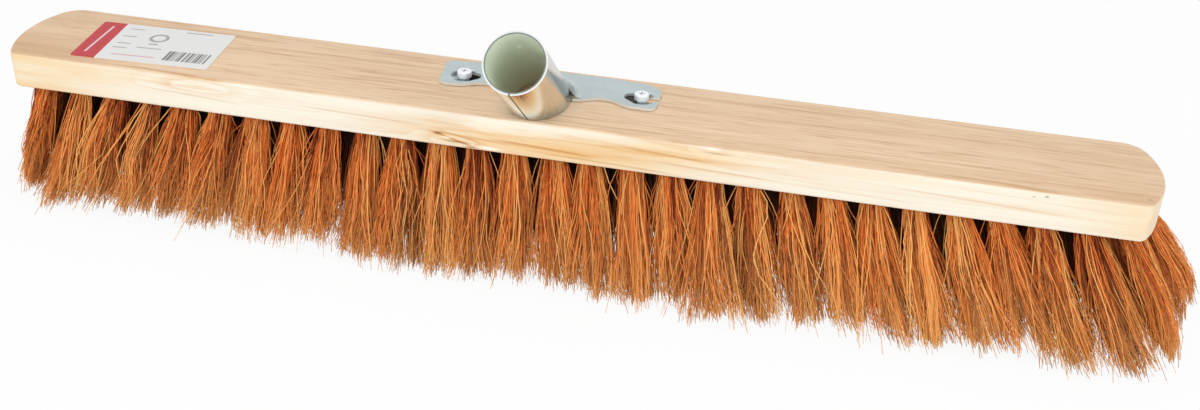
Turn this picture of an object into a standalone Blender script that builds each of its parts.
"""Push broom head: a wooden block, tufts of stiff fibre and a slanted handle holder.

Units are metres, +Z is up, and the bristle tips stand on z = 0. X runs along the block.
The origin lies on the floor, in the middle of the ground that the whole head covers.
"""

import math
import random

import bmesh
import bpy
from mathutils import Matrix, Vector

# Clearances and steps shared by all pieces
seat_gap = 0.0003
cut_overrun = 0.002
weld_distance = 0.00001
rounding_steps = 4
smooth_angle = math.radians(35.0)
straight_angle = math.radians(179.0)

# Wooden block
block_length = 0.600
block_width = 0.065
block_thickness = 0.020
block_end_bulge = 0.0094
block_corner_radius = 0.0135
block_edge_rounding = 0.0015
block_rounding_steps = 2
block_arc_steps = 6
block_sharp_angle = math.radians(60.0)

# Backing of the tufts, let into the underside of the block
pocket_wall = 0.003
backing_thickness = 0.003

# Tufts
bristle_length = 0.068
tuft_pitch = 0.020
tuft_rows = 5
tuft_end_margin = 0.0075
tuft_edge_distance = 0.0095
tuft_hole_radius = 0.0044
tuft_hole_rim = 0.00065
strands_per_tuft = 3
strand_sides = 3
strand_root_radius = 0.0019
strand_tip_radius = 0.0034
strand_root_depth = 0.0015
strand_unevenness = 0.005
strand_jitter = 0.0008
floor_cut = 0.0005
tuft_fan_radius = 0.0062
front_splay = 0.018
tip_drift = 0.006
length_splay_share = 0.077
end_flare = 0.010
rear_end_flare = 0.008
flare_power = 6
corner_pull_share = 0.25
corner_pull_power = 8
random_seed = 29

# Handle holder, one sheet-metal stamping
sheet_thickness = 0.0015
holder_offset = -0.0067
plate_length = 0.118
plate_width = 0.030
plate_edge_distance = 0.0065
plate_rear_bulge = 0.003
plate_waist = 0.0055
plate_waist_steps = 8
ear_rounding = 0.0045
fork_rounding = 0.010
socket_bore_radius = 0.01425
socket_angle = math.radians(40.0)
socket_axis_length = 0.065
socket_set_forward = 0.0174
socket_sides = 40
seam_width = 0.0008
nail_hole_radius = 0.0015
nail_hole_distance = 0.0195
nail_hole_turn = math.radians(10.0)

# Pan head screws with a cross recess, and the dished holes in the ears that they pass
screw_radius = 0.0024
screw_thread_depth = 0.0004
screw_thread_pitch = 0.002
screw_point = 0.003
screw_tip_cover = 0.004
screw_head_radius = 0.0035
screw_head_height = 0.0024
screw_head_shares = ((0.0, 1.0), (0.62, 0.94), (0.9, 0.7), (1.0, 0.35), (0.96, 0.0))
recess_length = 0.0036
recess_width = 0.0009
recess_depth = 0.0012
screw_steps = 16
left_screw_end_distance = 0.0142
right_screw_end_distance = 0.0090
screw_row_shift = 0.0006
slot_width = 0.0056
fork_slot_overlength = 0.009
keyhole_radius = 0.0046
keyhole_length = 0.0044
dish_radius = 0.0065
dish_floor_radius = 0.0040
dish_depth = 0.0008
hole_steps = 24

# Paper label
label_length = 0.077
label_width = 0.046
label_thickness = 0.0004
label_corner_radius = 0.003
label_end_distance = 0.0365
label_turn = math.radians(4.0)

# Sizes that follow from the ones above
underside = bristle_length
block_top = bristle_length + block_thickness
socket_radius = socket_bore_radius + sheet_thickness
plate_bottom = block_top + seat_gap
plate_top = plate_bottom + sheet_thickness
dish_floor = plate_top - dish_depth
tuft_columns = int((block_length - 2 * tuft_end_margin) / tuft_pitch)
row_reach = block_width / 2 - tuft_edge_distance
row_pitch = 2 * row_reach / (tuft_rows - 1)
column_half = tuft_pitch / 2 - seat_gap / 2
stagger = column_half - tuft_hole_radius - tuft_hole_rim
end_root = (tuft_columns - 1) / 2 * tuft_pitch + stagger
pocket_depth = backing_thickness + seat_gap
holder_y = block_width / 2 - plate_edge_distance - plate_width / 2
socket_foot_y = holder_y - socket_set_forward
socket_reach = socket_axis_length * math.cos(socket_angle) + socket_radius * math.sin(socket_angle)
bristle_reach = row_reach + front_splay + tuft_fan_radius + strand_tip_radius
front_reach = max(socket_reach - socket_foot_y, bristle_reach)

# Sizes below are measured from the block's centre, which stands off the origin by this much
block_x = -tip_drift
block_y = (front_reach - bristle_reach) / 2


def clear_scene():
    for old in list(bpy.data.objects):
        bpy.data.objects.remove(old, do_unlink=True)


def new_collection(name):
    collection = bpy.data.collections.new(name)
    bpy.context.scene.collection.children.link(collection)
    return collection


def material(name, colour, roughness, metallic=0.0):
    made = bpy.data.materials.new(name)
    made.use_nodes = True
    shader = made.node_tree.nodes["Principled BSDF"]
    shader.inputs["Base Color"].default_value = (*colour, 1.0)
    shader.inputs["Roughness"].default_value = roughness
    shader.inputs["Metallic"].default_value = metallic
    made.diffuse_color = (*colour, 1.0)
    return made


def mesh_object(name, mesh, collection, finish=None):
    made = bpy.data.objects.new(name, mesh)
    collection.objects.link(made)
    if finish:
        mesh.materials.append(finish)
    return made


def bmesh_object(name, bm, collection, finish=None):
    mesh = bpy.data.meshes.new(name)
    bm.to_mesh(mesh)
    bm.free()
    return mesh_object(name, mesh, collection, finish)


def as_cutter(obj):
    obj.hide_render = True
    obj.display_type = "WIRE"
    return obj


def flat_solid(name, outline, bottom, top, collection, finish=None):
    """A plate between two heights, drawn as a closed flat curve and made a mesh."""
    curve = bpy.data.curves.new(name, "CURVE")
    curve.dimensions = "2D"
    curve.fill_mode = "BOTH"
    curve.extrude = (top - bottom) / 2
    spline = curve.splines.new("POLY")
    spline.points.add(len(outline) - 1)
    for point, (x, y) in zip(spline.points, outline):
        point.co = (x, y, 0.0, 1.0)
    spline.use_cyclic_u = True
    drawn = bpy.data.objects.new(name + "_outline", curve)
    collection.objects.link(drawn)
    drawn.location.z = (bottom + top) / 2
    bpy.context.view_layer.update()
    graph = bpy.context.evaluated_depsgraph_get()
    mesh = bpy.data.meshes.new_from_object(drawn.evaluated_get(graph))
    mesh.transform(drawn.matrix_world)
    bpy.data.objects.remove(drawn, do_unlink=True)
    bm = bmesh.new()
    bm.from_mesh(mesh)
    bmesh.ops.remove_doubles(bm, verts=bm.verts, dist=weld_distance)
    bmesh.ops.recalc_face_normals(bm, faces=bm.faces)
    bm.to_mesh(mesh)
    bm.free()
    mesh.materials.clear()
    return mesh_object(name, mesh, collection, finish)


def arc(centre, radius, start, end, steps):
    """Points along an arc, both ends included."""
    angles = [start + (end - start) * i / steps for i in range(steps + 1)]
    return [(centre[0] + radius * math.cos(a), centre[1] + radius * math.sin(a)) for a in angles]


def rounded_outline(corners):
    """A closed outline from (x, y, radius) corners, each turned by an arc of that radius."""
    points = []
    for i, (x, y, radius) in enumerate(corners):
        here = Vector((x, y))
        before = (Vector(corners[i - 1][:2]) - here).normalized()
        after = (Vector(corners[(i + 1) % len(corners)][:2]) - here).normalized()
        if radius <= 0 or before.angle(after) > straight_angle:
            points.append((x, y))
            continue
        half = before.angle(after) / 2
        centre = here + (before + after).normalized() * radius / math.sin(half)
        first = here + before * radius / math.tan(half) - centre
        last = here + after * radius / math.tan(half) - centre
        turn = first.angle_signed(last)
        for step in range(rounding_steps + 1):
            spoke = first.copy()
            spoke.rotate(Matrix.Rotation(-turn * step / rounding_steps, 2))
            points.append(tuple(centre + spoke))
    return points


def block_outline(inset):
    """The block from above, drawn in by inset: straight sides, bowed ends and rounded corners."""
    half_length = block_length / 2
    half_width = block_width / 2
    end_radius = (half_width**2 + block_end_bulge**2) / (2 * block_end_bulge)
    end_centre = half_length - end_radius
    across = half_width - block_corner_radius
    along = end_centre + math.sqrt((end_radius - block_corner_radius) ** 2 - across**2)
    tangent = math.atan2(across, along - end_centre)
    quarter = math.pi / 2
    corner = block_corner_radius - inset
    end = end_radius - inset
    right = arc((along, -across), corner, -quarter, -tangent, block_arc_steps)
    right += arc((end_centre, 0.0), end, -tangent, tangent, block_arc_steps)[1:-1]
    right += arc((along, across), corner, tangent, quarter, block_arc_steps)
    left = [(-x, -y) for x, y in right]
    return right + left


def box_solid(name, low, high, collection):
    bm = bmesh.new()
    size = Vector(high) - Vector(low)
    centre = (Vector(high) + Vector(low)) / 2
    bmesh.ops.create_cube(bm, size=1.0, matrix=Matrix.Translation(centre) @ Matrix.Diagonal((*size, 1.0)))
    return bmesh_object(name, bm, collection)


def rod(name, radius, start, end, collection, sides):
    """A closed cylinder from one point to another."""
    start, end = Vector(start), Vector(end)
    run = end - start
    bm = bmesh.new()
    place = Matrix.Translation((start + end) / 2) @ run.to_track_quat("Z", "Y").to_matrix().to_4x4()
    bmesh.ops.create_cone(
        bm, cap_ends=True, segments=sides, radius1=radius, radius2=radius, depth=run.length, matrix=place
    )
    return bmesh_object(name, bm, collection)


def upright_cone(name, low_radius, high_radius, low, height, collection):
    """A closed cone on the point low, widening or narrowing upwards."""
    bm = bmesh.new()
    bmesh.ops.create_cone(
        bm,
        cap_ends=True,
        segments=hole_steps,
        radius1=low_radius,
        radius2=high_radius,
        depth=height,
        matrix=Matrix.Translation(Vector(low) + Vector((0.0, 0.0, height / 2))),
    )
    return bmesh_object(name, bm, collection)


def boolean(obj, other, operation):
    step = obj.modifiers.new(operation.lower() + "_" + other.name, "BOOLEAN")
    step.operation = operation
    step.object = other
    step.solver = "EXACT"
    return step


def smooth_round_faces(obj):
    obj.data.shade_smooth()
    obj.data.set_sharp_from_angle(angle=smooth_angle)


def screw_places():
    """Where the two screws stand, from above."""
    y = holder_y - plate_rear_bulge - screw_row_shift
    left_end = holder_offset - plate_length / 2
    right_end = holder_offset + plate_length / 2
    return [
        ("screw_left", left_end + left_screw_end_distance, y),
        ("screw_right", right_end - right_screw_end_distance, y),
    ]


def screw_depth():
    """How far a screw goes into the block, with wood left between its point and the backing."""
    return block_thickness - pocket_depth - screw_tip_cover


def make_block(parts, cutters, finish):
    block = flat_solid("block", block_outline(0.0), underside, block_top, parts, finish)
    edges = block.modifiers.new("edge_rounding", "BEVEL")
    edges.width = block_edge_rounding
    edges.segments = block_rounding_steps
    edges.limit_method = "ANGLE"
    edges.angle_limit = block_sharp_angle
    low, high = underside - cut_overrun, underside + pocket_depth
    pocket = flat_solid("pocket_cutter", block_outline(pocket_wall), low, high, cutters)
    boolean(block, as_cutter(pocket), "DIFFERENCE")
    for name, x, y in screw_places():
        low = (x, y, block_top - screw_depth() - seat_gap)
        high = (x, y, block_top + cut_overrun)
        pilot = rod(name + "_pilot_cutter", screw_radius + seat_gap, low, high, cutters, screw_steps)
        boolean(block, as_cutter(pilot), "DIFFERENCE")
    smooth_round_faces(block)
    return block


def tip_of(x, y):
    """Where a tuft with its root at x, y ends: tufts fan out to the front, the rear and both ends."""
    reach = abs(x) / end_root
    rearward = y / row_reach
    splayed = y * (1 + front_splay / row_reach) * (1 - corner_pull_share * reach**corner_pull_power)
    flare = (end_flare + rear_end_flare * rearward) * reach**flare_power
    return x * (1 + length_splay_share) + math.copysign(flare, x) + tip_drift, splayed


def add_strand(bm, root, tip, tip_height, turn):
    """One strand with level ends, leaning from its root in the backing to its tip."""
    top = underside + strand_root_depth
    drop = top - tip_height
    lean_x = (tip[0] - root[0]) / underside
    lean_y = (tip[1] - root[1]) / underside
    middle_drop = drop / 2 - strand_root_depth
    lean = Matrix.Identity(4)
    lean[0][2] = -lean_x
    lean[1][2] = -lean_y
    centre = Vector((root[0] + lean_x * middle_drop, root[1] + lean_y * middle_drop, top - drop / 2))
    bmesh.ops.create_cone(
        bm,
        cap_ends=True,
        segments=strand_sides,
        radius1=strand_tip_radius,
        radius2=strand_root_radius,
        depth=drop,
        matrix=Matrix.Translation(centre) @ lean @ Matrix.Rotation(turn, 4, "Z"),
    )


def make_column(number, parts, cutters, finish, chance):
    """One slice of the backing across the block, with the strands of its tufts."""
    x = (number - (tuft_columns - 1) / 2) * tuft_pitch
    name = f"tufts_{number + 1:02d}"
    bottom, top = underside, underside + backing_thickness
    column = flat_solid(name, block_outline(pocket_wall + seat_gap), bottom, top, parts, finish)
    left = x - column_half if number else -block_length
    right = x + column_half if number < tuft_columns - 1 else block_length
    low = (left, -block_width, bottom - cut_overrun)
    high = (right, block_width, top + cut_overrun)
    boolean(column, as_cutter(box_solid(name + "_slice_cutter", low, high, cutters)), "INTERSECT")
    bm = bmesh.new()
    ring = tuft_hole_radius - strand_root_radius
    for row in range(tuft_rows):
        tuft_x = x + (stagger if row % 2 == 0 else -stagger)
        tuft_y = row * row_pitch - row_reach
        tip_x, tip_y = tip_of(tuft_x, tuft_y)
        first = chance.uniform(0.0, math.tau)
        for strand in range(strands_per_tuft):
            angle = first + math.tau * strand / strands_per_tuft
            out = Vector((math.cos(angle), math.sin(angle)))
            root = Vector((tuft_x, tuft_y)) + out * ring
            stray = Vector((chance.uniform(-1, 1), chance.uniform(-1, 1))) * strand_jitter
            tip = Vector((tip_x, tip_y)) + out * tuft_fan_radius + stray
            short = strand_unevenness * chance.random() ** 2
            add_strand(bm, root, tip, max(0.0, short - floor_cut), angle)
    strands = bmesh_object(name + "_strands", bm, cutters)
    boolean(column, as_cutter(strands), "UNION")
    return column


def plate_outline():
    """The holder's flat plate from above: ears drawn in at a waist on the front edge, bulging at the rear."""
    half_length = plate_length / 2
    half_width = plate_width / 2
    end_width = half_width - plate_rear_bulge
    outline = rounded_outline(
        [
            (half_length, -half_width, ear_rounding),
            (half_length, end_width, fork_rounding),
            (socket_radius * 2, half_width, ear_rounding),
            (-socket_radius * 2, half_width, ear_rounding),
            (-half_length, end_width, ear_rounding),
            (-half_length, -half_width, ear_rounding),
        ]
    )
    inner, outer = socket_radius, half_length - 2 * ear_rounding
    waist = []
    for step in range(1, plate_waist_steps):
        share = step / plate_waist_steps
        drawn_in = plate_waist * (1 - math.cos(math.tau * share)) / 2
        waist.append((outer + (inner - outer) * share, drawn_in - half_width))
    front = [(-x, y) for x, y in waist] + [(x, y) for x, y in reversed(waist)]
    shift = Vector((holder_offset, holder_y))
    return [tuple(Vector(point) + shift) for point in outline + front]


def socket_frame():
    """The foot of the socket's axis, on the plate's underside, and the way the handle leaves."""
    foot = Vector((holder_offset, socket_foot_y, plate_bottom))
    out = Vector((0.0, -math.cos(socket_angle), math.sin(socket_angle)))
    return foot, out


def slot_outline(x_open, x_end, y, radius):
    """A straight slot with one round end, seen from above."""
    side = math.copysign(1.0, x_open - x_end)
    centre = (x_end + side * radius, y)
    start = math.pi / 2 if side > 0 else -math.pi / 2
    return [(x_open, y - side * radius), (x_open, y + side * radius)] + arc(
        centre, radius, start, start + math.pi, hole_steps // 2
    )


def make_holder(parts, cutters, finish):
    foot, out = socket_frame()
    mouth = foot + out * socket_axis_length
    low = plate_bottom - cut_overrun
    high = plate_top + cut_overrun
    holder = flat_solid("handle_holder", plate_outline(), plate_bottom, plate_top, parts, finish)
    below = out * (socket_radius / math.tan(socket_angle) + cut_overrun)
    tube = rod("socket_tube", socket_radius, foot - below, mouth, cutters, socket_sides)
    boolean(holder, as_cutter(tube), "UNION")
    floor = box_solid(
        "foot_cutter",
        (foot.x - plate_length, foot.y - plate_length, plate_bottom - socket_axis_length),
        (foot.x + plate_length, foot.y + plate_length, plate_bottom),
        cutters,
    )
    boolean(holder, as_cutter(floor), "DIFFERENCE")
    past_mouth = mouth + out * cut_overrun
    bore = rod("bore_cutter", socket_bore_radius, foot - below * 2, past_mouth, cutters, socket_sides)
    boolean(holder, as_cutter(bore), "DIFFERENCE")
    seam = box_solid(
        "seam_cutter",
        (-seam_width / 2, -socket_radius - cut_overrun, -socket_axis_length),
        (seam_width / 2, -socket_bore_radius / 2, socket_axis_length + cut_overrun),
        cutters,
    )
    seam.matrix_world = Matrix.Translation(foot) @ Matrix.Rotation(math.pi / 2 - socket_angle, 4, "X")
    boolean(holder, as_cutter(seam), "DIFFERENCE")
    up = out.cross(Vector((1.0, 0.0, 0.0)))
    spoke = Matrix.Rotation(nail_hole_turn, 3, out) @ up
    centre = mouth - out * nail_hole_distance
    nail = rod(
        "nail_hole_cutter",
        nail_hole_radius,
        centre + spoke * socket_bore_radius / 2,
        centre + spoke * (socket_radius + cut_overrun),
        cutters,
        screw_steps,
    )
    boolean(holder, as_cutter(nail), "DIFFERENCE")
    slope = (dish_radius - dish_floor_radius) / dish_depth
    dish_height = dish_depth + cut_overrun
    high_radius = dish_floor_radius + slope * dish_height
    for name, x, y in screw_places():
        name += "_dish_cutter"
        dish = upright_cone(name, dish_floor_radius, high_radius, (x, y, dish_floor), dish_height, cutters)
        boolean(holder, as_cutter(dish), "DIFFERENCE")
    (_, left_x, screw_y), (_, right_x, _) = screw_places()
    fork_open = holder_offset + plate_length / 2 + cut_overrun
    fork_end = right_x - fork_slot_overlength
    half_slot = slot_width / 2
    fork_line = slot_outline(fork_open, fork_end, screw_y, half_slot)
    fork = flat_solid("fork_cutter", fork_line, low, high, cutters)
    boolean(holder, as_cutter(fork), "DIFFERENCE")
    key_x = left_x + keyhole_length
    neck_line = slot_outline(key_x, left_x - half_slot, screw_y, half_slot)
    neck = flat_solid("key_neck_cutter", neck_line, low, high, cutters)
    boolean(holder, as_cutter(neck), "DIFFERENCE")
    key_low, key_high = (key_x, screw_y, low), (key_x, screw_y, high)
    key = rod("key_cutter", keyhole_radius, key_low, key_high, cutters, hole_steps)
    boolean(holder, as_cutter(key), "DIFFERENCE")
    smooth_round_faces(holder)
    return holder


def screw_profile():
    """A screw from the top of its head down its outer side to its point, as (radius, height) pairs."""
    seat = dish_floor + seat_gap
    point = block_top - screw_depth()
    core = screw_radius - screw_thread_depth
    profile = [(screw_head_radius * r, seat + screw_head_height * h) for r, h in screw_head_shares]
    turns = int((seat - point - screw_point) / screw_thread_pitch)
    for turn in range(turns):
        height = seat - turn * screw_thread_pitch
        profile.append((core, height))
        profile.append((screw_radius, height - screw_thread_pitch / 2))
    return profile + [(core, point + screw_point), (0.0, point)]


def make_screw(name, x, y, parts, cutters, finish):
    """A screw turned from its profile, with a cross recess in its head."""
    bm = bmesh.new()
    verts = [bm.verts.new((r, 0.0, z)) for r, z in screw_profile()]
    for first, second in zip(verts, verts[1:]):
        bm.edges.new((first, second))
    screw = bmesh_object(name, bm, parts, finish)
    screw.location = (x, y, 0.0)
    turned = screw.modifiers.new("turn", "SCREW")
    turned.angle = math.tau
    turned.steps = screw_steps
    turned.render_steps = screw_steps
    turned.use_merge_vertices = True
    turned.merge_threshold = weld_distance
    head_top = dish_floor + seat_gap + screw_head_height
    arms = (("along", recess_length, recess_width), ("across", recess_width, recess_length))
    for arm, size_x, size_y in arms:
        low = (x - size_x / 2, y - size_y / 2, head_top - recess_depth)
        high = (x + size_x / 2, y + size_y / 2, head_top + cut_overrun)
        recess = box_solid(f"{name}_recess_{arm}_cutter", low, high, cutters)
        boolean(screw, as_cutter(recess), "DIFFERENCE")
    return screw


def make_label(parts, finish):
    half_length, half_width = label_length / 2, label_width / 2
    corners = [(-half_length, -half_width), (half_length, -half_width)]
    corners += [(-x, -y) for x, y in corners]
    outline = rounded_outline([(x, y, label_corner_radius) for x, y in corners])
    label = flat_solid("label", outline, 0.0, label_thickness, parts, finish)
    place = Vector((label_end_distance + half_length - block_length / 2, 0.0, block_top + seat_gap))
    label.matrix_world = Matrix.Translation(place) @ Matrix.Rotation(label_turn, 4, "Z")
    return label


def main():
    clear_scene()
    parts = new_collection("broom")
    cutters = new_collection("cutters")
    wood = material("planed_pine", (0.80, 0.62, 0.42), 0.6)
    fibre = material("stiff_fibre", (0.55, 0.22, 0.06), 0.55)
    zinc = material("zinc_plated_steel", (0.60, 0.64, 0.64), 0.35, 1.0)
    bolt = material("bright_screw_steel", (0.72, 0.74, 0.76), 0.3, 1.0)
    paper = material("label_paper", (0.86, 0.86, 0.84), 0.5)
    chance = random.Random(random_seed)
    make_block(parts, cutters, wood)
    for number in range(tuft_columns):
        make_column(number, parts, cutters, fibre, chance)
    make_holder(parts, cutters, zinc)
    for name, x, y in screw_places():
        make_screw(name, x, y, parts, cutters, bolt)
    make_label(parts, paper)
    centre = bpy.data.objects.new("block_centre", None)
    centre.location = (block_x, block_y, 0.0)
    bpy.context.scene.collection.objects.link(centre)
    for piece in list(parts.objects) + list(cutters.objects):
        piece.parent = centre


main()
